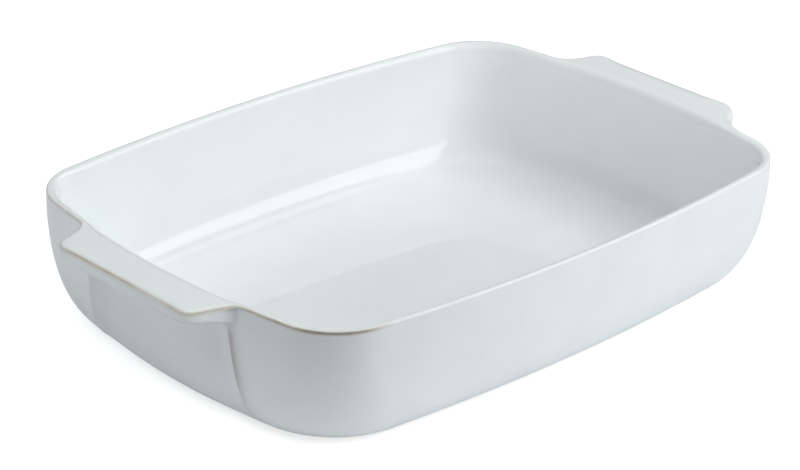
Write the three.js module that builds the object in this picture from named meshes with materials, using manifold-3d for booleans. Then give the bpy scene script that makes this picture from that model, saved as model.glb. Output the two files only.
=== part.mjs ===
// Rectangular stoneware baking dish with bowed walls and a tab handle at each end.
// Millimetres, +Z up, length along X. The dish stands on its foot ring at z = 0.
// Sizes are those of the glazed dish; the clay underneath is smaller by the coat and its joint.
import * as THREE from "three";
import { mergeVertices } from "three/addons/utils/BufferGeometryUtils.js";
import Module from "manifold-3d";

const wasm = await Module();
wasm.setup();

// Rim, seen from above: a rectangle with bowed sides and round corners.
const RIM_HALF_LENGTH = 150;
const RIM_HALF_WIDTH = 109.6;
const RIM_LONG_BOW = 12.2;
const RIM_SHORT_BOW = 13.3;
const RIM_CORNER = 32;
// Foot of the outer wall, where it meets the foot ring.
const END_LEAN = 16.5;
const SIDE_LEAN = 21.8;
const BASE_LONG_BOW = 8;
const BASE_SHORT_BOW = 15;
const BASE_CORNER = 42;
// Wall section.
const HEIGHT = 61;
const BELLY = 1;
const BELLY_DROP = 40.5;
const HEEL_REACH = 14.9;
const WALL = 4.7;
const FLOOR_TOP = 6.8;
const COVE_REACH = 17;
const COVE_DROP = 34;
const RIM_OUTER_ROUND = 0.9;
const RIM_INNER_ROUND = 2;
// Foot ring and the recess inside it.
const FOOT_HEIGHT = 1.4;
const FOOT_SETBACK = 2.5;
const FOOT_WIDTH = 8;
const RECESS_RISE = 1.5;
// Panel pressed into each end wall below the handle, so that fingers fit behind the tab.
const PANEL_TOP_HALF = 37;
const PANEL_FOOT_HALF = 43.5;
const PANEL_DEPTH = 2.2;
const PANEL_CROWN = 1.6;
const PANEL_RAMP = 8;
const PANEL_LAND = 6;
const PANEL_HEAD = 7;
const PANEL_FADE = 9;
const PANEL_TOE = 4;
const PANEL_TOE_FADE = 16;
// Tab handle.
const TAB_REACH = 17.8;
const TAB_TIP_HALF = 44;
const TAB_ROOT_HALF = 48;
const TAB_CORNER = 6.5;
const TAB_FLARE = 9;
const TAB_EDGE = 4.4;
const TAB_ROOT_DEPTH = 9;
const TAB_COVE_OUT = 4;
const TAB_COVE_DEPTH = 5.4;
const TAB_TOP_ROUND = 2;
const TAB_LOWER_ROUND = 1.4;
// Coats and joints.
const GLAZE = 0.5;
const JOINT = 0.3;
const EDGE_LINE_DROP = 0.9;
const EDGE_LINE = 0.7;
const WIPED_EDGE = 1;
// Number of straight pieces that stand for each curve.
const PANEL_STEPS = 3;
const RAMP_STEPS = 2;
const CORNER_STEPS = 7;
const SIDE_STEPS = 4;
const WALL_STEPS = 9;
const ROUND_STEPS = 2;

const COAT = GLAZE + JOINT;
const lerp = THREE.MathUtils.lerp;
const smoothstep = THREE.MathUtils.smoothstep;

// Half-width of the middle of the pressed panel at a height, and the share of its full depth there.
function panelHalf(z) {
  return lerp(PANEL_FOOT_HALF, PANEL_TOP_HALF, z / HEIGHT);
}
function panelShare(z) {
  const head = HEIGHT - PANEL_HEAD;
  return smoothstep(head - z, 0, PANEL_FADE) * smoothstep(z, PANEL_TOE, PANEL_TOE + PANEL_TOE_FADE);
}
// Depth of the panel at a distance from its middle: crowned, then a hollow ramp out to a crisp edge.
function panelDent(y, z) {
  const half = panelHalf(z);
  const crowned = PANEL_DEPTH - PANEL_CROWN * (1 - Math.min(y / half, 1) ** 2);
  const ramp = Math.min(Math.max((y - half) / PANEL_RAMP, 0), 1);
  return crowned * (1 - ramp ** 2) * panelShare(z);
}

// Closed outline of the dish at one level, counter-clockwise from the middle of the +X end.
// lean runs from 0 at the rim to 1 at the foot, inside is the distance in from the outer surface there.
function outline(lean, inside, z, pressed) {
  const halfLength = RIM_HALF_LENGTH - END_LEAN * lean - inside;
  const halfWidth = RIM_HALF_WIDTH - SIDE_LEAN * lean - inside;
  const longBow = lerp(RIM_LONG_BOW, BASE_LONG_BOW, lean);
  const shortBow = lerp(RIM_SHORT_BOW, BASE_SHORT_BOW, lean);
  const corner = lerp(RIM_CORNER, BASE_CORNER, Math.sqrt(Math.max(lean, 0))) - inside;
  const longRadius = (halfLength ** 2 + longBow ** 2) / (2 * longBow);
  const shortRadius = (halfWidth ** 2 + shortBow ** 2) / (2 * shortBow);
  const longCentre = new THREE.Vector2(0, halfWidth - longRadius);
  const shortCentre = new THREE.Vector2(halfLength - shortRadius, 0);

  // The corner arc touches both side arcs from inside, so its centre is where two smaller circles cross.
  const span = shortCentre.distanceTo(longCentre);
  const toLong = longRadius - corner;
  const toShort = shortRadius - corner;
  const along = (toLong ** 2 - toShort ** 2 + span ** 2) / (2 * span);
  const across = Math.sqrt(toLong ** 2 - along ** 2);
  const way = shortCentre.clone().sub(longCentre).divideScalar(span);
  const centre = longCentre.clone().addScaledVector(way, along);
  centre.addScaledVector(new THREE.Vector2(way.y, -way.x), across);
  const fromEnd = centre.clone().sub(shortCentre).angle();
  const toSide = centre.clone().sub(longCentre).angle();
  const bend = shortRadius * Math.sin(fromEnd);
  const reach = (y) => {
    if (y <= bend) return shortCentre.x + Math.sqrt(shortRadius ** 2 - y ** 2);
    return centre.x + Math.sqrt(corner ** 2 - (y - centre.y) ** 2);
  };

  // Distances from the middle of the end: across the panel, up its ramp and on to the corner.
  const half = panelHalf(z);
  const edge = half + PANEL_RAMP;
  const join = Math.max(bend, edge + PANEL_LAND);
  const stations = [];
  for (let i = 0; i <= PANEL_STEPS; i++) stations.push(half * Math.sin((i / PANEL_STEPS) * (Math.PI / 2)));
  for (let i = 1; i <= RAMP_STEPS; i++) stations.push(half + PANEL_RAMP * (i / RAMP_STEPS));
  stations.push((edge + join) / 2);
  const quarter = stations.map((y) => new THREE.Vector2(reach(y) - (pressed ? panelDent(y, z) : 0), y));
  const cornerStart = Math.asin((join - centre.y) / corner);
  const cornerArc = new THREE.ArcCurve(centre.x, centre.y, corner, cornerStart, toSide, false);
  const sideArc = new THREE.ArcCurve(longCentre.x, longCentre.y, longRadius, toSide, Math.PI / 2, false);
  quarter.push(...cornerArc.getPoints(CORNER_STEPS));
  quarter.push(...sideArc.getPoints(SIDE_STEPS).slice(1));

  const mirrored = (list, x, y) => list.map((p) => new THREE.Vector2(p.x * x, p.y * y));
  const second = mirrored(quarter, -1, 1).reverse().slice(1);
  const third = mirrored(quarter, -1, -1).slice(1);
  const fourth = mirrored(quarter, 1, -1).reverse().slice(1, -1);
  return [...quarter, ...second, ...third, ...fourth];
}

// Points of the outer wall from the foot to the rim, and of the inner wall from the rim to the floor.
function wallPoints(curve, inside, pressed) {
  return curve.getPoints(WALL_STEPS).map((p) => ({ lean: p.x / SIDE_LEAN, inside, z: p.y, pressed }));
}
function outerWall() {
  const curve = new THREE.CubicBezierCurve(
    new THREE.Vector2(SIDE_LEAN, FOOT_HEIGHT),
    new THREE.Vector2(SIDE_LEAN - HEEL_REACH, FOOT_HEIGHT),
    new THREE.Vector2(-BELLY, HEIGHT - BELLY_DROP),
    new THREE.Vector2(0, HEIGHT - RIM_OUTER_ROUND),
  );
  return wallPoints(curve, 0, true);
}
function innerWall() {
  const curve = new THREE.CubicBezierCurve(
    new THREE.Vector2(0, HEIGHT - RIM_INNER_ROUND),
    new THREE.Vector2(0, HEIGHT - COVE_DROP),
    new THREE.Vector2(SIDE_LEAN - COVE_REACH, FLOOR_TOP),
    new THREE.Vector2(SIDE_LEAN, FLOOR_TOP),
  );
  return wallPoints(curve, WALL, false);
}
function rimRound(radius, inside, start) {
  const arc = new THREE.ArcCurve(inside, HEIGHT - radius, radius, start, start - Math.PI / 2, true);
  return arc.getPoints(ROUND_STEPS).map((p) => ({ lean: 0, inside: p.x, z: p.y, pressed: false }));
}

// Moves the points of a section out of the surface by grow, along the normal of the section.
function grown(points, grow) {
  const place = (p) => new THREE.Vector2(-p.lean * SIDE_LEAN - p.inside, p.z);
  return points.map((p, i) => {
    const before = place(points[Math.max(i - 1, 0)]);
    const after = place(points[Math.min(i + 1, points.length - 1)]);
    const way = after.sub(before).normalize();
    return { ...p, inside: p.inside - grow * way.y, z: p.z - grow * way.x };
  });
}

// Closed surface through a row of outlines, with a flat cap on the first and the last.
function loft(points) {
  const rings = points.map((p) => outline(p.lean, p.inside, p.z, p.pressed));
  const count = rings[0].length;
  const positions = rings.flatMap((ring, i) => ring.flatMap((q) => [q.x, q.y, points[i].z]));
  const index = [];
  for (let i = 0; i + 1 < rings.length; i++) {
    for (let j = 0; j < count; j++) {
      const next = (j + 1) % count;
      const a = i * count + j;
      const b = i * count + next;
      index.push(a, b, b + count, a, b + count, a + count);
    }
  }
  const top = (rings.length - 1) * count;
  for (const [a, b, c] of THREE.ShapeUtils.triangulateShape(rings[0], [])) index.push(c, b, a);
  for (const [a, b, c] of THREE.ShapeUtils.triangulateShape(rings[rings.length - 1], [])) {
    index.push(top + a, top + b, top + c);
  }
  const geometry = new THREE.BufferGeometry();
  geometry.setAttribute("position", new THREE.Float32BufferAttribute(positions, 3));
  geometry.setIndex(index);
  return solid(geometry);
}

function solid(geometry) {
  const bare = new THREE.BufferGeometry();
  bare.setAttribute("position", geometry.getAttribute("position"));
  bare.setIndex(geometry.getIndex());
  const merged = mergeVertices(bare, 1e-4);
  return new wasm.Manifold(
    new wasm.Mesh({
      numProp: 3,
      vertProperties: new Float32Array(merged.getAttribute("position").array),
      triVerts: new Uint32Array(merged.getIndex().array),
    }),
  );
}

// Section of the dish without handles, from the foot of the outer wall over the rim to the cavity floor.
function dish(grow) {
  const wall = [
    ...outerWall(),
    ...rimRound(RIM_OUTER_ROUND, RIM_OUTER_ROUND, Math.PI).slice(1),
    ...rimRound(RIM_INNER_ROUND, WALL - RIM_INNER_ROUND, Math.PI / 2),
    ...innerWall().slice(1),
  ];
  return grown(wall, grow);
}
// The clay: the same section, smaller by the coat, on its foot ring.
function clayShell() {
  const step = (inside, z) => ({ lean: 1, inside, z, pressed: false });
  const under = FOOT_HEIGHT + COAT;
  const ringInside = FOOT_SETBACK + FOOT_WIDTH;
  return loft([
    step(ringInside, RECESS_RISE + COAT),
    step(ringInside, 0),
    step(FOOT_SETBACK, 0),
    step(FOOT_SETBACK, under),
    ...dish(-COAT),
  ]);
}

// Everything inside the outer wall, straight up past the rim: what a handle is seated against.
function wallFilled(grow) {
  const points = grown(outerWall(), grow);
  return loft([...points, { ...points[points.length - 1], z: HEIGHT + TAB_ROOT_DEPTH }]);
}

// Everything on the cavity side of the middle of the wall, straight up past the rim.
function cavityFilled() {
  const points = grown(innerWall(), -WALL / 2).reverse();
  return loft([...points, { ...points[points.length - 1], z: HEIGHT + TAB_ROOT_DEPTH }]);
}

// Tab handle on the +X end, turned about Z. Its plan has round corners and flares into the rim;
// its section is thin at the tip and coved below, where it meets the wall.
function tab(grow, turn) {
  const root = RIM_HALF_LENGTH - RIM_SHORT_BOW;
  const tip = RIM_HALF_LENGTH + TAB_REACH + grow;
  const tipHalf = TAB_TIP_HALF + grow;
  const rootHalf = TAB_ROOT_HALF + grow;
  const wide = rootHalf + TAB_FLARE;
  const flareEnd = RIM_HALF_LENGTH + TAB_FLARE;
  const flareHalf = lerp(rootHalf, tipHalf, TAB_FLARE / TAB_REACH);
  const cornerHalf = lerp(tipHalf, rootHalf, TAB_CORNER / TAB_REACH);
  const plan = new THREE.Shape();
  plan.moveTo(root, -wide);
  plan.quadraticCurveTo(RIM_HALF_LENGTH, -rootHalf, flareEnd, -flareHalf);
  plan.lineTo(tip - TAB_CORNER, -cornerHalf);
  plan.quadraticCurveTo(tip, -tipHalf, tip, TAB_CORNER - tipHalf);
  plan.lineTo(tip, tipHalf - TAB_CORNER);
  plan.quadraticCurveTo(tip, tipHalf, tip - TAB_CORNER, cornerHalf);
  plan.lineTo(flareEnd, flareHalf);
  plan.quadraticCurveTo(RIM_HALF_LENGTH, rootHalf, root, wide);
  plan.closePath();
  const slab = new THREE.ExtrudeGeometry(plan, {
    depth: TAB_ROOT_DEPTH + 2 * grow - 2 * TAB_TOP_ROUND,
    curveSegments: 5,
    bevelThickness: TAB_TOP_ROUND,
    bevelSize: TAB_TOP_ROUND,
    bevelOffset: -TAB_TOP_ROUND,
    bevelSegments: ROUND_STEPS,
  });
  slab.translate(0, 0, HEIGHT - TAB_ROOT_DEPTH - grow + TAB_TOP_ROUND);

  const edge = HEIGHT - TAB_EDGE - grow;
  const cove = HEIGHT - TAB_COVE_DEPTH - grow;
  const low = HEIGHT - TAB_ROOT_DEPTH - grow;
  const side = new THREE.Shape();
  side.moveTo(root, HEIGHT + TAB_EDGE);
  side.lineTo(root, low);
  side.lineTo(RIM_HALF_LENGTH, low);
  side.quadraticCurveTo(RIM_HALF_LENGTH + TAB_COVE_OUT, cove, tip - TAB_LOWER_ROUND, edge);
  side.quadraticCurveTo(tip, edge, tip, edge + TAB_LOWER_ROUND);
  side.lineTo(tip + TAB_EDGE, HEIGHT + TAB_EDGE);
  side.closePath();
  const bar = new THREE.ExtrudeGeometry(side, { depth: 3 * wide, curveSegments: 5, bevelEnabled: false });
  bar.rotateX(Math.PI / 2);
  bar.translate(0, 1.5 * wide, 0);

  slab.rotateZ(turn);
  bar.rotateZ(turn);
  return solid(slab).intersect(solid(bar)).subtract(cavityFilled());
}

// All above the line round the rim and the handles, where the two coats part.
function above(z) {
  const size = 4 * (RIM_HALF_LENGTH + TAB_REACH);
  const block = new THREE.BoxGeometry(size, size, size);
  block.translate(0, 0, z + size / 2);
  return solid(block);
}

const turns = { left_handle: Math.PI, right_handle: 0 };
const dressed = (grow) => {
  let whole = loft(dish(grow));
  for (const turn of Object.values(turns)) whole = whole.add(tab(grow, turn));
  return whole;
};
const coat = dressed(0).subtract(dressed(-GLAZE));
const lineTop = HEIGHT - EDGE_LINE_DROP;
const wiped = (z) => ({ lean: 1, inside: -WIPED_EDGE, z, pressed: false });
const innerCoat = coat.intersect(cavityFilled().add(above(lineTop)));
const outerCoat = coat
  .subtract(cavityFilled().add(above(lineTop - EDGE_LINE)))
  .subtract(loft([wiped(-FOOT_HEIGHT), wiped(FLOOR_TOP)]));
const recess = (z) => ({ lean: 1, inside: FOOT_SETBACK + FOOT_WIDTH + JOINT, z, pressed: false });

const clay = { color: 0x9a8f7e, roughness: 0.85, metalness: 0 };
const gloss = { color: 0xe7ecec, roughness: 0.12, metalness: 0 };
const satin = { color: 0xdde3e5, roughness: 0.45, metalness: 0 };

function piece(name, body, finish) {
  const { vertProperties, triVerts } = body.getMesh();
  const geometry = new THREE.BufferGeometry();
  geometry.setAttribute("position", new THREE.BufferAttribute(vertProperties, 3));
  geometry.setIndex(new THREE.BufferAttribute(triVerts, 1));
  geometry.computeVertexNormals();
  const mesh = new THREE.Mesh(geometry, new THREE.MeshStandardMaterial(finish));
  mesh.name = name;
  return mesh;
}

const bakingDish = new THREE.Group();
bakingDish.name = "baking_dish";
bakingDish.add(piece("stoneware_body", clayShell(), clay));
for (const [name, turn] of Object.entries(turns)) {
  bakingDish.add(piece(name, tab(-COAT, turn).subtract(wallFilled(-GLAZE)), clay));
}
bakingDish.add(piece("inner_glaze", innerCoat, gloss));
bakingDish.add(piece("outer_glaze", outerCoat, satin));
bakingDish.add(piece("base_glaze", loft([recess(RECESS_RISE), recess(RECESS_RISE + GLAZE)]), satin));

export default bakingDish;
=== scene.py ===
import math

import bpy
import numpy as np
from mathutils import Matrix, Vector

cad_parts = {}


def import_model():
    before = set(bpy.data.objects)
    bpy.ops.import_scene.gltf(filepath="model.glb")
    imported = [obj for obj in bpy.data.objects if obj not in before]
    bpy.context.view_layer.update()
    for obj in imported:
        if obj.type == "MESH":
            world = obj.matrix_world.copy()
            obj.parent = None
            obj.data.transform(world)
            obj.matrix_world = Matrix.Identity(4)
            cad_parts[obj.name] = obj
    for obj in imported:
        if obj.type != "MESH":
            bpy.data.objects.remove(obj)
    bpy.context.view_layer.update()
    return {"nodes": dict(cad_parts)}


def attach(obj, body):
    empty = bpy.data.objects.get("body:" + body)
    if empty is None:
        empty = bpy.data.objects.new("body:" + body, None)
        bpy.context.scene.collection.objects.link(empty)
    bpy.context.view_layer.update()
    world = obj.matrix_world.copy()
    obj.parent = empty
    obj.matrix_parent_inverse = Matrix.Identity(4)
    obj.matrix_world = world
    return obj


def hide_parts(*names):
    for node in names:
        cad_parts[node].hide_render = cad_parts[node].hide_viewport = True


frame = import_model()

MM = 0.001

# Rim, seen from above: a rectangle with bowed sides and round corners.
RIM_HALF_LENGTH = 150.0
RIM_HALF_WIDTH = 109.6
RIM_LONG_BOW = 12.2
RIM_SHORT_BOW = 13.3
RIM_CORNER = 32.0
# Foot of the outer wall, where it meets the foot ring.
END_LEAN = 16.5
SIDE_LEAN = 21.8
BASE_LONG_BOW = 8.0
BASE_SHORT_BOW = 15.0
BASE_CORNER = 42.0
# Wall section: a slight belly and a round heel outside, a wide cove inside.
HEIGHT = 61.0
BELLY = 1.0
BELLY_DROP = 40.5
HEEL_REACH = 14.9
WALL = 4.7
FLOOR_TOP = 6.8
COVE_REACH = 17.0
COVE_DROP = 34.0
INNER_CURVE_DROP = 2.0
# Rounds of the rim: the outer one is sharper along the sides, the inner one wider along the handles.
RIM_OUTER_ROUND = 0.9
SIDE_OUTER_ROUND = 0.7
SIDE_ROUND_FADE = (75.0, 105.0)
RIM_INNER_ROUND = 3.2
HANDLE_INNER_ROUND = 5.5
INNER_ROUND_FADE = (40.0, 58.0)
# Foot ring and the recess inside it.
FOOT_HEIGHT = 1.4
FOOT_SETBACK = 2.5
FOOT_WIDTH = 8.0
FOOT_ROUND = 0.6
RECESS_RISE = 1.5
# Panel pressed into each end wall: its edge, the hollow ramp inside the edge and its crowned middle.
PANEL_TOP_EDGE = 45.0
PANEL_FOOT_EDGE = 51.5
PANEL_RAMP = 11.0
PANEL_EDGE_ROUND = 0.7
PANEL_DEPTH = 3.2
PANEL_CROWN = 1.6
# Fine bead along the panel's edge, and how far it falls off on either side.
PANEL_BEAD = 0.4
BEAD_IN = 1.0
BEAD_OUT = 2.6
# Where the panel starts below the rim and above the foot, and the height over which it deepens.
PANEL_HEAD = 7.0
PANEL_HEAD_FADE = 9.0
PANEL_TOE = 1.0
PANEL_TOE_FADE = 12.0
# Tab handle, seen from above. Up to TAB_STRAIGHT from its middle, its points lie straight out from the rim.
TAB_REACH = 17.8
TAB_TIP_HALF = 44.0
TAB_ROOT_HALF = 48.0
TAB_CORNER = 6.5
TAB_FLARE = 9.0
TAB_SPREAD = 9.0
TAB_STRAIGHT = 34.0
# One end of the far tab runs out wider into the rim.
WIDE_ROOT_HALF = 56.0
WIDE_CORNER = 8.0
WIDE_FLARE = 5.0
WIDE_SPREAD = 8.0
# Section of the tab: a thin edge and a coved underside.
TAB_EDGE = 5.8
TAB_ROOT_DEPTH = 9.0
TAB_COVE_OUT = 4.0
TAB_COVE_DEPTH = 6.5
TAB_LOWER_ROUND = 1.4
# The tab's top rolls off to its edge, which leans out below. Both fade round the tab's corner.
TAB_TOP_ROUND = 2.5
TAB_TOP_REACH = 6.5
TAB_LIP = 1.3
TAB_SIDE_LIP = 0.2
TAB_TIP_FADE = (26.0, 41.0)
# The tab has its full section where it stands out this far. Its flare is evened out where it ends.
TAB_FULL = 6.0
TAB_SOFTEN = 7.0
SOFTEN_PASSES = 24
# Coats of glaze. They part on the outer round of the rim, at or just before PARTING_TURN.
GLAZE = 0.5
JOINT = 0.3
COAT = GLAZE + JOINT
PARTING_TURN = 0.32 * math.pi
WIPED_EDGE = 1.0
# Brown line where the coats part: full at the -X end, faint on the rest of the rim, weaker towards +Y.
BREAK_WIDTH = 1.1
BREAK_FAR = 0.14
BREAK_FAR_FADE = (-132.0, -98.0)
BREAK_BACK = 0.55
BREAK_BACK_FADE = (20.0, 70.0)
# Grey line along the panel's edge, thin glaze with painted shade of the crease over it: on the -Y side
# only, and fainter towards the foot.
THIN_SHADE_IN = 1.7
THIN_SHADE_OUT = 3.0
THIN_SHADE_POWER = 1.4
THIN_SHADE_LOW = 0.4
THIN_SHADE_RISE = (10.0, 36.0)
THIN_SHADE_SIDE = (-20.0, 20.0)

# Depths below the top at which the rim's rows take over from the inner and from the outer wall.
INNER_TOP = 6.5
OUTER_TOP = 12.0
# Stations across one quarter: over the end wall, dense at the panel's edge, then corner and side.
DENSE_FROM = 43.5
DENSE_TO = 46.5
END_TO = 56.0
END_STATIONS = np.concatenate([
    np.linspace(0, TAB_STRAIGHT, 13)[:-1],
    np.linspace(TAB_STRAIGHT, DENSE_FROM, 17)[:-1],
    np.linspace(DENSE_FROM, DENSE_TO, 11)[:-1],
    np.linspace(DENSE_TO, END_TO, 17),
])
LAND = 4.0
LAND_STATIONS = 9
CORNER_STATIONS = 27
SIDE_STATIONS = 27
# Rows of the surface, from the middle of the cavity floor over the rim to the foot.
FLOOR_ROWS = 22
INNER_ROWS = 40
ROUND_ROWS = 9
TOP_ROWS = 14
UNDER_ROWS = 44
UNDER_CROWDING = 1.4
OUTER_ROWS = 44
CLAY_ROWS = 24
# Points on the curves that rows and stations are read from.
CURVE_POINTS = 2001
WALL_POINTS = 400
WALL_LEVELS = 25
TAB_DEPTH_POINTS = 60
TAB_PLAN_POINTS = 80
EDGE_POINTS = 6
LOWER_ROUND_POINTS = 8
BELOW_POINTS = 30
ROOT_POINTS = 8
PLAIN_POINTS = 20
FOOT_ROUND_POINTS = 6
NORMAL_PASSES = 4
SHARP_ANGLE = math.radians(40)

# Colours of thin glaze, of the panel's grey line (thin glaze with painted shade of its crease), and of the
# clay.
BEIGE_EDGE = (0.58, 0.545, 0.455)
BROWN_EDGE = (0.29, 0.275, 0.235)
THIN_GLAZE_AND_SHADE = (0.47, 0.465, 0.45)
CLAY_DARK = (0.26, 0.21, 0.155)
CLAY_LIGHT = (0.40, 0.34, 0.265)
CLAY_SPECK = (0.09, 0.065, 0.045)
GLAZE_IOR = 1.5
# Table and surroundings, in metres. The table ends just in front of the dish.
FLOOR_COLOUR = (0.9, 0.9, 0.9)
FLOOR_ROUGHNESS = 0.9
FLOOR_LIFT = 0.62
TABLE_SIZE = 4.0
TABLE_FRONT = 0.216
WORLD_STRENGTH = 0.05
# Camera, fitted to the outline of the rim in the photo. Lengths are in metres, the focal length in pixels.
CAMERA_AZIMUTH = math.radians(-43.86)
CAMERA_ELEVATION = math.radians(25.42)
CAMERA_ROLL = math.radians(1.44)
CAMERA_DISTANCE = 1.20547
CAMERA_ASIDE = -0.00709
CAMERA_ABOVE = -0.02954
FOCAL_PIXELS = 2696.02
IMAGE_WIDTH = 800
SENSOR_WIDTH = 36.0


# Curves and outlines


def blend(a, b, share):
    return a + (b - a) * share


def smooth(value, low, high):
    """A soft step from 0 at low to 1 at high."""
    t = np.clip((value - low) / (high - low), 0, 1)
    return t * t * (3 - 2 * t)


def bezier(points, t):
    """Points of a Bezier curve of any degree, one row for each value of t."""
    rows = [np.outer(np.ones_like(t), p) for p in points]
    while len(rows) > 1:
        rows = [blend(a, b, t[:, None]) for a, b in zip(rows, rows[1:])]
    return rows[0]


def panel_edge(z):
    """Distance of the panel's edge from the middle of the end wall, at a height."""
    return blend(PANEL_FOOT_EDGE, PANEL_TOP_EDGE, z / HEIGHT)


def panel_share(z):
    """How much of the panel's depth there is at a height."""
    head = HEIGHT - PANEL_HEAD
    return smooth(head - z, 0, PANEL_HEAD_FADE) * smooth(z, PANEL_TOE, PANEL_TOE + PANEL_TOE_FADE)


def panel_dent(y, z):
    """Depth of the pressed panel: crowned in the middle, then a hollow ramp out to its edge."""
    edge = panel_edge(z)
    flat = edge - PANEL_RAMP
    crown = PANEL_DEPTH - PANEL_CROWN * (1 - np.minimum(y / flat, 1) ** 2)
    ramp = np.clip((y - flat) / PANEL_RAMP, 0, 1)
    soft = PANEL_EDGE_ROUND / PANEL_RAMP
    hollow = np.sqrt((1 - ramp ** 2) ** 2 + soft ** 2) - soft
    past = y - edge
    bead = PANEL_BEAD * np.exp(np.where(past > 0, -past / BEAD_OUT, past / BEAD_IN))
    return (crown * hollow - bead) * panel_share(z)


def quarter(lean, inside, z, pressed=0.0):
    """Outline of one quarter at a level, from the middle of the +X end to the middle of the +Y side."""
    half_length = RIM_HALF_LENGTH - END_LEAN * lean - inside
    half_width = RIM_HALF_WIDTH - SIDE_LEAN * lean - inside
    long_bow = blend(RIM_LONG_BOW, BASE_LONG_BOW, lean)
    short_bow = blend(RIM_SHORT_BOW, BASE_SHORT_BOW, lean)
    corner = blend(RIM_CORNER, BASE_CORNER, math.sqrt(max(lean, 0))) - inside
    long_radius = (half_length ** 2 + long_bow ** 2) / (2 * long_bow)
    short_radius = (half_width ** 2 + short_bow ** 2) / (2 * short_bow)
    long_centre = np.array([0, half_width - long_radius])
    short_centre = np.array([half_length - short_radius, 0])

    # The corner arc touches both side arcs from inside, so its centre is where two smaller circles cross.
    way = short_centre - long_centre
    span = np.hypot(*way)
    way = way / span
    to_long = long_radius - corner
    to_short = short_radius - corner
    along = (to_long ** 2 - to_short ** 2 + span ** 2) / (2 * span)
    across = math.sqrt(to_long ** 2 - along ** 2)
    centre = long_centre + way * along + np.array([way[1], -way[0]]) * across
    from_end = math.atan2(*(centre - short_centre)[::-1])
    to_side = math.atan2(*(centre - long_centre)[::-1])
    bend = short_radius * math.sin(from_end)

    y = END_STATIONS * panel_edge(z) / PANEL_TOP_EDGE
    join = max(bend, y[-1] + LAND)
    y = np.concatenate([y, np.linspace(y[-1], join, LAND_STATIONS)[1:]])
    on_end = short_centre[0] + np.sqrt(short_radius ** 2 - y ** 2)
    on_corner = centre[0] + np.sqrt(corner ** 2 - np.maximum(y - centre[1], 0) ** 2)
    x = np.where(y <= bend, on_end, on_corner) - pressed * panel_dent(y, z)
    turn = np.linspace(math.asin((join - centre[1]) / corner), to_side, CORNER_STATIONS)[1:]
    swing = np.linspace(to_side, math.pi / 2, SIDE_STATIONS)[1:]
    x = np.concatenate([x, centre[0] + corner * np.cos(turn), long_radius * np.cos(swing)])
    y = np.concatenate([y, centre[1] + corner * np.sin(turn), long_centre[1] + long_radius * np.sin(swing)])
    return np.stack([x, y, np.full_like(x, z)], axis=1)


def outer_wall(t):
    """(lean in mm, height) of the outer wall, t from 0 at the foot to 1 at the rim."""
    return bezier([
        (SIDE_LEAN, FOOT_HEIGHT),
        (SIDE_LEAN - HEEL_REACH, FOOT_HEIGHT),
        (-BELLY, HEIGHT - BELLY_DROP),
        (0, HEIGHT - RIM_OUTER_ROUND),
    ], t)


def inner_wall(t):
    """(lean in mm, height) of the inner wall, t from 0 at the floor to 1 at the rim."""
    return bezier([
        (SIDE_LEAN, FLOOR_TOP),
        (SIDE_LEAN - COVE_REACH, FLOOR_TOP),
        (0, HEIGHT - COVE_DROP),
        (0, HEIGHT - INNER_CURVE_DROP),
    ], t)


def reach_of(curve, height):
    """The value of t at which a wall curve has a height."""
    t = np.linspace(0, 1, CURVE_POINTS)
    return float(np.interp(height, curve(t)[:, 1], t))


def wiped_end():
    """The value of t at which the outer coat ends, above the foot that is wiped bare."""
    t = np.linspace(0, 1, CURVE_POINTS)
    return float(np.interp(WIPED_EDGE - SIDE_LEAN, -outer_wall(t)[:, 0], t))


def tab_depth(x):
    """Thickness of the tab at a distance along X, thin at the tip and coved at the wall."""
    tip = RIM_HALF_LENGTH + TAB_REACH
    curve = bezier([
        (RIM_HALF_LENGTH, TAB_ROOT_DEPTH),
        (RIM_HALF_LENGTH + TAB_COVE_OUT, TAB_COVE_DEPTH),
        (tip - TAB_LOWER_ROUND, TAB_EDGE),
    ], np.linspace(0, 1, TAB_DEPTH_POINTS))
    return np.interp(x, curve[:, 0], curve[:, 1])


def tab_outline(root_half, round_off, flare, spread):
    """Plan of half a tab from the middle of its tip, round its corner and along its flare."""
    tip = RIM_HALF_LENGTH + TAB_REACH
    corner_half = blend(TAB_TIP_HALF, root_half, round_off / TAB_REACH)
    flare_half = blend(root_half, TAB_TIP_HALF, flare / TAB_REACH)
    steps = np.linspace(0, 1, TAB_PLAN_POINTS)
    corner = bezier([
        (tip, TAB_TIP_HALF - round_off),
        (tip, TAB_TIP_HALF),
        (tip - round_off, corner_half),
    ], steps)
    run_out = bezier([
        (RIM_HALF_LENGTH + flare, flare_half),
        (RIM_HALF_LENGTH, root_half),
        (RIM_HALF_LENGTH - RIM_SHORT_BOW, root_half + spread),
    ], steps)
    return np.concatenate([[(tip, 0)], corner, run_out])


def tab_points(rim, plan):
    """For each station of the rim, the point of the outer edge there: on the tab where there is one."""
    outside = plan[:, 0] > np.interp(plan[:, 1], rim[:, 1], rim[:, 0])
    plan = plan[outside]
    last = plan[-1, 1]
    along = np.concatenate([[0], np.cumsum(np.hypot(*np.diff(plan, axis=0).T))])
    y = rim[:, 1]
    run = last - TAB_STRAIGHT
    share = np.clip((y - TAB_STRAIGHT) / run, 0, 1)
    past_straight = TAB_STRAIGHT + run * share + (along[-1] - TAB_STRAIGHT - run) * share ** 2
    length = np.where(y < TAB_STRAIGHT, y, past_straight)
    made = np.stack([np.interp(length, along, plan[:, 0]), np.interp(length, along, plan[:, 1])], axis=1)
    edge = np.where((y < last)[:, None], made, rim)
    near = np.exp(-((y - last) / TAB_SOFTEN) ** 2)[1:-1, None]
    for _ in range(SOFTEN_PASSES):
        even = (edge[:-2] + 2 * edge[1:-1] + edge[2:]) / 4
        edge[1:-1] = blend(edge[1:-1], even, near)
    return edge


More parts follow.
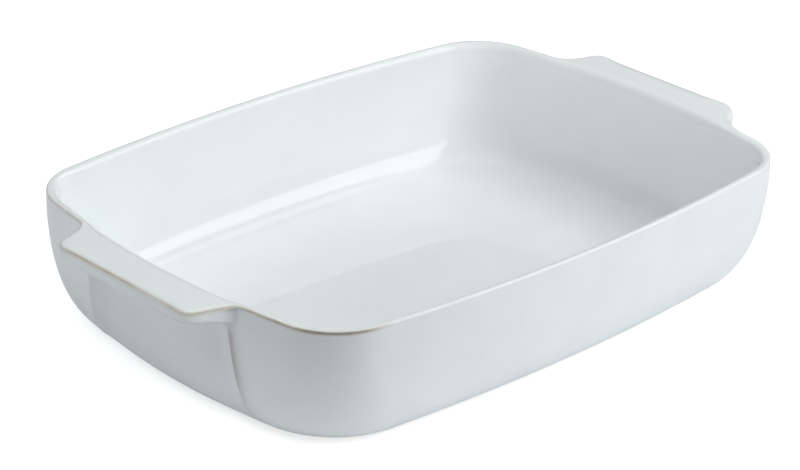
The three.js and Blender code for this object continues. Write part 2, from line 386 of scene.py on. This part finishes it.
def outward(points):
    """Unit normals of an open plan outline, smoothed over its neighbours."""
    ahead = np.gradient(points, axis=0)
    normal = np.stack([ahead[:, 1], -ahead[:, 0]], axis=1)
    normal /= np.linalg.norm(normal, axis=1)[:, None]
    normal[0] = (1, 0)
    normal[-1] = (0, 1)
    for _ in range(NORMAL_PASSES):
        normal[1:-1] = (normal[:-2] + 2 * normal[1:-1] + normal[2:]) / 4
    return normal / np.linalg.norm(normal, axis=1)[:, None]


def resampled(path, count):
    """Points along a path, closer together at its start."""
    run = np.concatenate([[0], np.cumsum(np.linalg.norm(np.diff(path, axis=0), axis=1))])
    want = run[-1] * np.linspace(0, 1, count) ** UNDER_CROWDING
    return np.stack([np.interp(want, run, path[:, k]) for k in range(3)], axis=1)


def raised(plan, z):
    """A plan outline at one height, or at a height for each of its points."""
    return np.column_stack([plan, np.broadcast_to(z, len(plan))])


# Glazed surface


def cavity_rows():
    """Rows of the cavity floor and of the inner wall, up to where the rim's inner round starts."""
    rows = []
    floor_edge = quarter(1, WALL, FLOOR_TOP)
    for share in np.linspace(0, 1, FLOOR_ROWS + 1)[1:-1]:
        rows.append(floor_edge * (share, share, 1))
    top = reach_of(inner_wall, HEIGHT - INNER_TOP)
    for lean, z in inner_wall(np.linspace(0, top, INNER_ROWS)):
        rows.append(quarter(lean / SIDE_LEAN, WALL, z))
    return rows


def under_rows(rim, edge, normal, tab_share, top_round, lip_lean):
    """Rows from the outer edge down to the outer wall, along the tab's underside where there is one."""
    heights = np.linspace(HEIGHT - OUTER_TOP, HEIGHT, WALL_LEVELS)
    leans = np.interp(heights, *outer_wall(np.linspace(0, 1, WALL_POINTS)).T[::-1])
    walls = np.stack([quarter(lean / SIDE_LEAN, 0, z, pressed=1.0) for lean, z in zip(leans, heights)])
    low_round = TAB_LOWER_ROUND * tab_share
    lip = edge + normal * lip_lean[:, None]
    under = lip - normal * low_round[:, None]
    down_share = np.linspace(0, 1, EDGE_POINTS)[:, None]
    turn = np.linspace(0, math.pi / 2, LOWER_ROUND_POINTS)
    back_share = np.linspace(0, 1, BELOW_POINTS)[1:-1, None]

    def wall_at(j, top, count):
        z = np.linspace(top, HEIGHT - OUTER_TOP, count)
        return np.stack([np.interp(z, heights, walls[:, j, k]) for k in range(2)] + [z], axis=1)

    columns = []
    for j in range(len(rim)):
        edge_top = HEIGHT - top_round[j]
        edge_low = HEIGHT - tab_depth(under[j, 0]) + low_round[j]
        side = raised(blend(edge[j], lip[j], down_share), np.linspace(edge_top, edge_low, EDGE_POINTS))
        round_plan = lip[j] - np.outer(low_round[j] * (1 - np.cos(turn)), normal[j])
        low = raised(round_plan, edge_low - low_round[j] * np.sin(turn))
        wall = wall_at(j, HEIGHT - tab_depth(rim[j, 0]), ROOT_POINTS)
        below_plan = blend(under[j], wall[0, :2], back_share)
        below = raised(below_plan, HEIGHT - tab_depth(below_plan[:, 0]))
        with_tab = resampled(np.concatenate([side, low, below, wall]), UNDER_ROWS)
        plain = resampled(wall_at(j, edge_top, PLAIN_POINTS), UNDER_ROWS)
        columns.append(blend(plain, with_tab, tab_share[j]))
    return np.stack(columns)[:, 1:].transpose(1, 0, 2)


def surface_quarter(tab_plan):
    """Rows of the glazed surface of one quarter, from the cavity floor over the rim to the foot.

    Also returns the row where the two coats part.
    """
    inner = quarter(0, WALL, HEIGHT)[:, :2]
    rim = quarter(0, 0, HEIGHT)[:, :2]
    edge = tab_points(rim, tab_plan)
    normal = outward(edge)
    y = rim[:, 1]
    tab_share = smooth(np.hypot(*(edge - rim).T), 0, TAB_FULL)
    inner_round = blend(HANDLE_INNER_ROUND, RIM_INNER_ROUND, smooth(y, *INNER_ROUND_FADE))
    side_round = blend(RIM_OUTER_ROUND, SIDE_OUTER_ROUND, smooth(y, *SIDE_ROUND_FADE))
    top_round = blend(side_round, TAB_TOP_ROUND, tab_share)
    past_tip = smooth(y, *TAB_TIP_FADE)
    top_reach = blend(TAB_TOP_REACH, top_round, past_tip)
    lip_lean = blend(TAB_LIP, TAB_SIDE_LIP, past_tip) * tab_share

    rows = cavity_rows()
    turns = np.linspace(0, math.pi / 2, ROUND_ROWS)
    for turn in turns:
        inside = WALL - inner_round * (1 - math.cos(turn))
        plan = blend(rim, inner, (inside / WALL)[:, None])
        rows.append(raised(plan, HEIGHT - inner_round * (1 - math.sin(turn))))
    top_from = plan
    top_to = edge - normal * top_reach[:, None]
    for share in np.linspace(0, 1, TOP_ROWS + 1)[1:]:
        rows.append(raised(blend(top_from, top_to, share), HEIGHT))
    for turn in turns[1:]:
        plan = edge - normal * (top_reach * (1 - math.sin(turn)))[:, None]
        rows.append(raised(plan, HEIGHT - top_round * (1 - math.cos(turn))))
        if turn <= PARTING_TURN:
            parting = len(rows) - 1
    rows.extend(under_rows(rim, edge, normal, tab_share, top_round, lip_lean))
    start = reach_of(outer_wall, HEIGHT - OUTER_TOP)
    for lean, z in outer_wall(np.linspace(start, wiped_end(), OUTER_ROWS))[1:]:
        rows.append(quarter(lean / SIDE_LEAN, 0, z, pressed=1.0))
    return np.stack(rows), parting


def whole(rows, last_rows):
    """All four quarters of a grid of rows, joined into closed rings.

    The last quarter, at +X and -Y, has rows of its own.
    """
    second = (rows * (-1, 1, 1))[:, ::-1][:, 1:]
    third = (rows * (-1, -1, 1))[:, 1:]
    fourth = (last_rows * (1, -1, 1))[:, ::-1][:, 1:-1]
    return np.concatenate([rows, second, third, fourth], axis=1)


def ring_faces(bands, count):
    """Quads of the bands between the rings of a grid, facing the side on the left of the rows' way."""
    faces = []
    for band in range(bands):
        a = np.arange(count) + band * count
        b = np.roll(a, -1)
        faces.append(np.stack([a, b, b + count, a + count], axis=1))
    return np.concatenate(faces)


def grid_normals(grid):
    """Smooth unit normals of a grid of closed rings."""
    down = np.gradient(grid, axis=0)
    across = np.roll(grid, -1, axis=1) - np.roll(grid, 1, axis=1)
    normal = np.cross(down, across)
    return normal / np.maximum(np.linalg.norm(normal, axis=2), 1e-9)[:, :, None]


def thin_and_shaded_places(grid, parting):
    """For each point of the surface, its share of the rim's brown line and of the panel's grey line, which
    is thin glaze with painted shade of the panel's crease.
    """
    step = np.linalg.norm(np.diff(grid, axis=0), axis=2)
    along = np.concatenate([np.zeros((1, grid.shape[1])), np.cumsum(step, axis=0)])
    from_edge = along - along[parting]
    x, y, z = grid.transpose(2, 0, 1)
    far = blend(1, BREAK_FAR, smooth(x, *BREAK_FAR_FADE))
    back = blend(1, BREAK_BACK, smooth(y, *BREAK_BACK_FADE))
    brown = np.exp(-(from_edge / BREAK_WIDTH) ** 2) * far * back

    past_panel = np.abs(y) - panel_edge(z)
    width = np.where(past_panel < 0, THIN_SHADE_IN, THIN_SHADE_OUT)
    line = np.exp(-np.abs(past_panel / width) ** THIN_SHADE_POWER) * panel_share(z)
    one_side = smooth(-y, *THIN_SHADE_SIDE)
    upward = blend(THIN_SHADE_LOW, 1, smooth(z, *THIN_SHADE_RISE))
    on_end = np.abs(x) > RIM_HALF_LENGTH - END_LEAN - RIM_SHORT_BOW
    outside = np.arange(len(grid))[:, None] > parting
    # Painted shade: the crease at the panel's edge is darkened in colour on the -Y side only, on top of the
    # thin glaze there.
    grey = line * one_side * upward * on_end * outside
    return brown, grey


# Materials


class Nodes:
    """A material's node tree with short ways to add and join nodes."""

    def __init__(self, name):
        self.material = bpy.data.materials.new(name)
        self.material.use_nodes = True
        self.tree = self.material.node_tree
        self.shader = self.tree.nodes["Principled BSDF"]

    def add(self, kind, **settings):
        """A new node. Each setting is the value of an input or, failing that, a property."""
        node = self.tree.nodes.new(kind)
        for key, value in settings.items():
            if key in node.inputs:
                node.inputs[key].default_value = value
            else:
                setattr(node, key, value)
        return node

    def join(self, source, target):
        self.tree.links.new(source, target)

    def noise(self, place, scale, detail):
        node = self.add("ShaderNodeTexNoise", Scale=scale, Detail=detail)
        self.join(place.outputs["Object"], node.inputs["Vector"])
        return node

    def ramp(self, source, stops):
        node = self.add("ShaderNodeValToRGB")
        elements = node.color_ramp.elements
        while len(elements) < len(stops):
            elements.new(1.0)
        for element, (position, colour) in zip(elements, stops):
            element.position = position
            element.color = (*colour, 1.0)
        self.join(source, node.inputs["Fac"])
        return node

    def spread(self, source, low, high, from_low=0.3, from_high=0.7):
        """The source's range from from_low to from_high, taken to low and high."""
        node = self.add("ShaderNodeMapRange")
        node.inputs["From Min"].default_value = from_low
        node.inputs["From Max"].default_value = from_high
        node.inputs["To Min"].default_value = low
        node.inputs["To Max"].default_value = high
        self.join(source, node.inputs["Value"])
        return node

    def bump(self, height, strength, distance):
        node = self.add("ShaderNodeBump", Strength=strength, Distance=distance)
        self.join(height.outputs["Fac"], node.inputs["Height"])
        return node


def glaze(name, light, deep, roughness, ripple_depth, grain_depth):
    """White glaze: faint mottling, uneven gloss, fine ripples, brown where it thins over an edge, and a
    grey line of thin glaze with painted crease shade along the panel's edge.
    """
    n = Nodes(name)
    place = n.add("ShaderNodeTexCoord")
    clouds = n.noise(place, scale=38.0, detail=4.0)
    tone = n.ramp(clouds.outputs["Fac"], [(0.3, deep), (0.7, light)])

    thin = n.add("ShaderNodeAttribute", attribute_name="glaze_break")
    ragged = n.noise(place, scale=160.0, detail=2.0)
    patchy = n.noise(place, scale=24.0, detail=2.0)
    strength = n.spread(patchy.outputs["Fac"], low=0.55, high=1.0)
    uneven = n.spread(ragged.outputs["Fac"], low=0.9, high=1.08)
    product = n.add("ShaderNodeMath", operation="MULTIPLY")
    n.join(thin.outputs["Fac"], product.inputs[0])
    n.join(strength.outputs["Result"], product.inputs[1])
    shown = n.add("ShaderNodeMath", operation="MULTIPLY", use_clamp=True)
    n.join(product.outputs["Value"], shown.inputs[0])
    n.join(uneven.outputs["Result"], shown.inputs[1])
    edge = n.ramp(shown.outputs["Value"], [(0.0, BEIGE_EDGE), (0.45, BEIGE_EDGE), (0.95, BROWN_EDGE)])
    cover = n.spread(shown.outputs["Value"], low=0.0, high=1.0, from_low=0.1, from_high=0.75)

    # The panel's grey line: thin glaze with painted shade of the crease at the panel's edge.
    thin_and_shaded = n.add("ShaderNodeAttribute", attribute_name="thin_glaze_and_shade")
    veil = n.add("ShaderNodeMix", data_type="RGBA")
    veil.inputs["B"].default_value = (*THIN_GLAZE_AND_SHADE, 1)
    n.join(thin_and_shaded.outputs["Fac"], veil.inputs["Factor"])
    n.join(tone.outputs["Color"], veil.inputs["A"])
    colour = n.add("ShaderNodeMix", data_type="RGBA")
    n.join(cover.outputs["Result"], colour.inputs["Factor"])
    n.join(veil.outputs["Result"], colour.inputs["A"])
    n.join(edge.outputs["Color"], colour.inputs["B"])
    n.join(colour.outputs["Result"], n.shader.inputs["Base Color"])

    gloss = n.noise(place, scale=90.0, detail=3.0)
    uneven_gloss = n.spread(gloss.outputs["Fac"], low=roughness * 0.85, high=roughness * 1.2)
    n.join(uneven_gloss.outputs["Result"], n.shader.inputs["Roughness"])

    ripple = n.bump(n.noise(place, scale=30.0, detail=1.0), strength=1.0, distance=ripple_depth)
    fine = n.bump(n.noise(place, scale=700.0, detail=3.0), strength=1.0, distance=grain_depth)
    n.join(ripple.outputs["Normal"], fine.inputs["Normal"])
    n.join(fine.outputs["Normal"], n.shader.inputs["Normal"])
    n.shader.inputs["IOR"].default_value = GLAZE_IOR
    return n.material


def bare_clay(name):
    """Fired stoneware: taupe with dark specks and a sandy surface."""
    n = Nodes(name)
    place = n.add("ShaderNodeTexCoord")
    body = n.noise(place, scale=120.0, detail=6.0)
    tone = n.ramp(body.outputs["Fac"], [(0.3, CLAY_DARK), (0.7, CLAY_LIGHT)])
    specks = n.add("ShaderNodeTexVoronoi", Scale=520.0)
    n.join(place.outputs["Object"], specks.inputs["Vector"])
    dots = n.spread(specks.outputs["Distance"], low=1.0, high=0.0, from_low=0.05, from_high=0.16)
    colour = n.add("ShaderNodeMix", data_type="RGBA")
    colour.inputs["B"].default_value = (*CLAY_SPECK, 1)
    n.join(dots.outputs["Result"], colour.inputs["Factor"])
    n.join(tone.outputs["Color"], colour.inputs["A"])
    n.join(colour.outputs["Result"], n.shader.inputs["Base Color"])
    grain = n.noise(place, scale=900.0, detail=6.0)
    rough = n.spread(grain.outputs["Fac"], low=0.75, high=0.95)
    n.join(rough.outputs["Result"], n.shader.inputs["Roughness"])
    sandy = n.bump(grain, strength=0.5, distance=0.0002)
    n.join(sandy.outputs["Normal"], n.shader.inputs["Normal"])
    return n.material


gloss_glaze = glaze(
    "gloss_glaze", light=(0.865, 0.905, 0.91), deep=(0.835, 0.88, 0.887),
    roughness=0.02, ripple_depth=0.00012, grain_depth=0.0000005)
satin_glaze = glaze(
    "satin_glaze", light=(0.79, 0.838, 0.862), deep=(0.755, 0.808, 0.837),
    roughness=0.33, ripple_depth=0.0001, grain_depth=0.000003)
clay = bare_clay("stoneware")


# Pieces


def mesh_piece(name, points, faces, node, material):
    """A smooth mesh that stands for a CAD node."""
    mesh = bpy.data.meshes.new(name)
    mesh.from_pydata((points * MM).tolist(), [], [tuple(int(v) for v in f) for f in faces])
    mesh.polygons.foreach_set("use_smooth", [True] * len(mesh.polygons))
    mesh.update()
    piece = bpy.data.objects.new(name, mesh)
    bpy.context.scene.collection.objects.link(piece)
    mesh.materials.append(material)
    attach(piece, "root")
    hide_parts(node)
    return piece


def point_values(piece, name, values):
    """A number for each point of a piece, for its material to read."""
    attribute = piece.data.attributes.new(name, "FLOAT", "POINT")
    attribute.data.foreach_set("value", np.ascontiguousarray(values, dtype=np.float32))


def glaze_pieces():
    """The gloss coat of the cavity, rim and tab tops, and the satin coat of the outside."""
    rows, parting = surface_quarter(tab_outline(TAB_ROOT_HALF, TAB_CORNER, TAB_FLARE, TAB_SPREAD))
    wide_rows, _ = surface_quarter(tab_outline(WIDE_ROOT_HALF, WIDE_CORNER, WIDE_FLARE, WIDE_SPREAD))
    grid = whole(rows, wide_rows)
    count = grid.shape[1]
    normals = grid_normals(grid)
    brown, grey = thin_and_shaded_places(grid, parting)

    inner = slice(0, parting + 1)
    points = np.concatenate([grid[inner].reshape(-1, 3), [(0, 0, FLOOR_TOP)]])
    middle = len(points) - 1
    faces = ring_faces(parting, count)[:, ::-1].tolist()
    faces += [(j, (j + 1) % count, middle) for j in range(count)]
    piece = mesh_piece("inner_coat", points, faces, "inner_glaze", gloss_glaze)
    point_values(piece, "glaze_break", np.append(brown[inner].ravel(), 0))
    up = np.concatenate([normals[inner].reshape(-1, 3), [(0, 0, 1)]])
    piece.data.normals_split_custom_set_from_vertices(up.tolist())

    # The outer coat ends at the foot in a short edge that turns up to the clay.
    outer = slice(parting, None)
    points = np.concatenate([grid[outer].reshape(-1, 3), grid[-1] + (0, 0, GLAZE)])
    faces = ring_faces(len(grid) - parting, count)[:, ::-1]
    piece = mesh_piece("outer_coat", points, faces, "outer_glaze", satin_glaze)
    point_values(piece, "glaze_break", np.append(brown[outer].ravel(), np.zeros(count)))
    # The grey line's values paint the shade of the panel's crease as well as thin glaze.
    point_values(piece, "thin_glaze_and_shade", np.append(grey[outer].ravel(), np.zeros(count)))
    out = np.concatenate([normals[outer].reshape(-1, 3), normals[-1]])
    piece.data.normals_split_custom_set_from_vertices(out.tolist())


def closed_piece(name, levels, node, material):
    """A closed body through outlines at levels of (lean, inside, height, pressed), capped at both ends."""
    rows = np.stack([quarter(*level) for level in levels])
    grid = whole(rows, rows)
    count = grid.shape[1]
    caps = [(0, 0, levels[0][2]), (0, 0, levels[-1][2])]
    points = np.concatenate([grid.reshape(-1, 3), caps])
    first = len(points) - 2
    last = len(points) - 1
    bands = len(grid) - 1
    faces = ring_faces(bands, count).tolist()
    for j in range(count):
        after = (j + 1) % count
        faces.append((after, j, first))
        faces.append((bands * count + j, bands * count + after, last))
    piece = mesh_piece(name, points, faces, node, material)
    piece.data.set_sharp_from_angle(angle=SHARP_ANGLE)


def turned(centre, radius, start, end):
    """(inside, height) of a quarter round, for the foot ring and the edge of the base coat."""
    angles = np.radians(np.linspace(start, end, FOOT_ROUND_POINTS))
    return [(centre[0] + radius * math.cos(a), centre[1] + radius * math.sin(a)) for a in angles]


def offset(curve, inside, grow):
    """Levels along a wall curve of (lean in mm, height), moved by grow along the normal of the section."""
    out = np.stack([-curve[:, 0] - inside, curve[:, 1]], axis=1)
    way = np.gradient(out, axis=0)
    way /= np.linalg.norm(way, axis=1)[:, None]
    return [
        (lean / SIDE_LEAN, inside - grow * w[1], z - grow * w[0]) for (lean, z), w in zip(curve, way)]


def clay_body():
    """The clay on its foot ring. It stays under the coats and ends below the rim's rounds."""
    ring = FOOT_SETBACK + FOOT_WIDTH
    foot = [(ring, RECESS_RISE + COAT)]
    foot += turned((ring - FOOT_ROUND, FOOT_ROUND), FOOT_ROUND, 0, -90)
    foot += turned((FOOT_SETBACK + FOOT_ROUND, FOOT_ROUND), FOOT_ROUND, 270, 180)
    foot += [(FOOT_SETBACK, FOOT_HEIGHT + COAT)]
    levels = [(1, inside, z, 0) for inside, z in foot]
    low = HEIGHT - INNER_TOP
    outer = outer_wall(np.linspace(0, reach_of(outer_wall, low), CLAY_ROWS))
    levels += [(*level, 1) for level in offset(outer, 0, -COAT)]
    inner = inner_wall(np.linspace(reach_of(inner_wall, low), 0, CLAY_ROWS))
    levels += [(*level, 0) for level in offset(inner, WALL, -COAT)]
    closed_piece("clay_body", levels, "stoneware_body", clay)


def base_coat():
    """The glaze inside the foot ring, with a soft edge."""
    ring = FOOT_SETBACK + FOOT_WIDTH + JOINT
    soft = turned((ring + GLAZE, RECESS_RISE + GLAZE), GLAZE, 270, 180)
    levels = [(1, inside, z, 0) for inside, z in soft]
    closed_piece("base_coat", levels, "base_glaze", satin_glaze)


glaze_pieces()
clay_body()
base_coat()
for name in ("left_handle", "right_handle"):
    frame["nodes"][name].data.materials.clear()
    frame["nodes"][name].data.materials.append(clay)


# Floor, light and camera


def floor():
    """A plain pale floor. The camera sees it lifted to white, and the lift lights nothing.

    It ends just in front of the dish, whose near corner mirrors the dim space past it.
    """
    mesh = bpy.data.meshes.new("floor")
    front = Vector((math.sin(CAMERA_AZIMUTH), -math.cos(CAMERA_AZIMUTH), 0))
    along = Vector((math.cos(CAMERA_AZIMUTH), math.sin(CAMERA_AZIMUTH), 0))
    corners = [
        (-TABLE_SIZE, TABLE_FRONT),
        (TABLE_SIZE, TABLE_FRONT),
        (TABLE_SIZE, -TABLE_SIZE),
        (-TABLE_SIZE, -TABLE_SIZE),
    ]
    mesh.from_pydata([along * a + front * b for a, b in corners], [], [(0, 1, 2, 3)])
    made = bpy.data.objects.new("floor", mesh)
    bpy.context.scene.collection.objects.link(made)
    n = Nodes("floor")
    n.shader.inputs["Base Color"].default_value = (*FLOOR_COLOUR, 1)
    n.shader.inputs["Roughness"].default_value = FLOOR_ROUGHNESS
    lift = n.add("ShaderNodeEmission", Strength=FLOOR_LIFT)
    path = n.add("ShaderNodeLightPath")
    seen = n.add("ShaderNodeMixShader")
    n.join(path.outputs["Is Camera Ray"], seen.inputs["Fac"])
    n.join(lift.outputs["Emission"], seen.inputs[2])
    both = n.add("ShaderNodeAddShader")
    n.join(n.shader.outputs["BSDF"], both.inputs[0])
    n.join(seen.outputs["Shader"], both.inputs[1])
    n.join(both.outputs["Shader"], n.tree.nodes["Material Output"].inputs["Surface"])
    mesh.materials.append(n.material)


def softbox(name, azimuth, elevation, distance, width, height, brightness, mirrored=False):
    """A flat lamp that faces the dish, placed by its angles from +X and from the floor, in degrees.

    A lamp that is not mirrored stands for light off the walls of the studio, which leaves no
    sharp patch in the gloss.
    """
    data = bpy.data.lights.new(name, "AREA")
    data.shape = "RECTANGLE"
    data.size = width
    data.size_y = height
    data.energy = brightness * math.pi * width * height
    made = bpy.data.objects.new(name, data)
    bpy.context.scene.collection.objects.link(made)
    turn = math.radians(azimuth)
    rise = math.radians(elevation)
    way = Vector((math.cos(turn) * math.cos(rise), math.sin(turn) * math.cos(rise), math.sin(rise)))
    made.location = way * distance + Vector((0, 0, HEIGHT * MM / 2))
    made.rotation_euler = (-way).to_track_quat("-Z", "Y").to_euler()
    made.visible_glossy = mirrored


def camera():
    """The photo's viewpoint, looking at the middle of the rim's plane, then moved aside and down."""
    level = math.cos(CAMERA_ELEVATION)
    back = Vector((
        math.sin(CAMERA_AZIMUTH) * level, -math.cos(CAMERA_AZIMUTH) * level, math.sin(CAMERA_ELEVATION)))
    right = Vector((math.cos(CAMERA_AZIMUTH), math.sin(CAMERA_AZIMUTH), 0))
    up = back.cross(right)
    x = right * math.cos(CAMERA_ROLL) + up * math.sin(CAMERA_ROLL)
    y = -right * math.sin(CAMERA_ROLL) + up * math.cos(CAMERA_ROLL)
    rim_middle = Vector((0, 0, HEIGHT * MM))
    data = bpy.data.cameras.new("camera")
    data.sensor_width = SENSOR_WIDTH
    data.lens = FOCAL_PIXELS * SENSOR_WIDTH / IMAGE_WIDTH
    made = bpy.data.objects.new("camera", data)
    bpy.context.scene.collection.objects.link(made)
    made.matrix_world = Matrix((x, y, back)).transposed().to_4x4()
    made.location = rim_middle + back * CAMERA_DISTANCE + x * CAMERA_ASIDE + y * CAMERA_ABOVE
    bpy.context.scene.camera = made


def world():
    """Dim surroundings, white where the camera looks past the table."""
    made = bpy.data.worlds.new("world")
    made.use_nodes = True
    nodes = made.node_tree.nodes
    links = made.node_tree.links
    dim = nodes["Background"]
    dim.inputs["Color"].default_value = (1, 1, 1, 1)
    dim.inputs["Strength"].default_value = WORLD_STRENGTH
    white = nodes.new("ShaderNodeBackground")
    white.inputs["Color"].default_value = (1, 1, 1, 1)
    path = nodes.new("ShaderNodeLightPath")
    seen = nodes.new("ShaderNodeMixShader")
    links.new(path.outputs["Is Camera Ray"], seen.inputs["Fac"])
    links.new(dim.outputs["Background"], seen.inputs[1])
    links.new(white.outputs["Background"], seen.inputs[2])
    links.new(seen.outputs["Shader"], nodes["World Output"].inputs["Surface"])
    bpy.context.scene.world = made


floor()
# Each lamp: azimuth and elevation in degrees, then distance, width and height in metres, then brightness.
softbox("key", -14, 45, 1.25, 2.0, 0.36, 2.35, mirrored=True)
softbox("front", -77, 50, 1.3, 1.1, 1.0, 2.65)
softbox("front_low", -83, 16, 1.3, 1.0, 0.5, 2.35)
softbox("left_low", 170, 10, 1.4, 1.0, 0.5, 2.65)
softbox("left_back", 105, 12, 1.4, 0.7, 0.5, 2.2)
softbox("left_high", 184, 60, 1.4, 0.9, 0.8, 1.7)
softbox("back", 42, 34, 1.5, 2.0, 1.2, 0.3, mirrored=True)
world()
camera()
bpy.context.scene.view_settings.view_transform = "Standard"
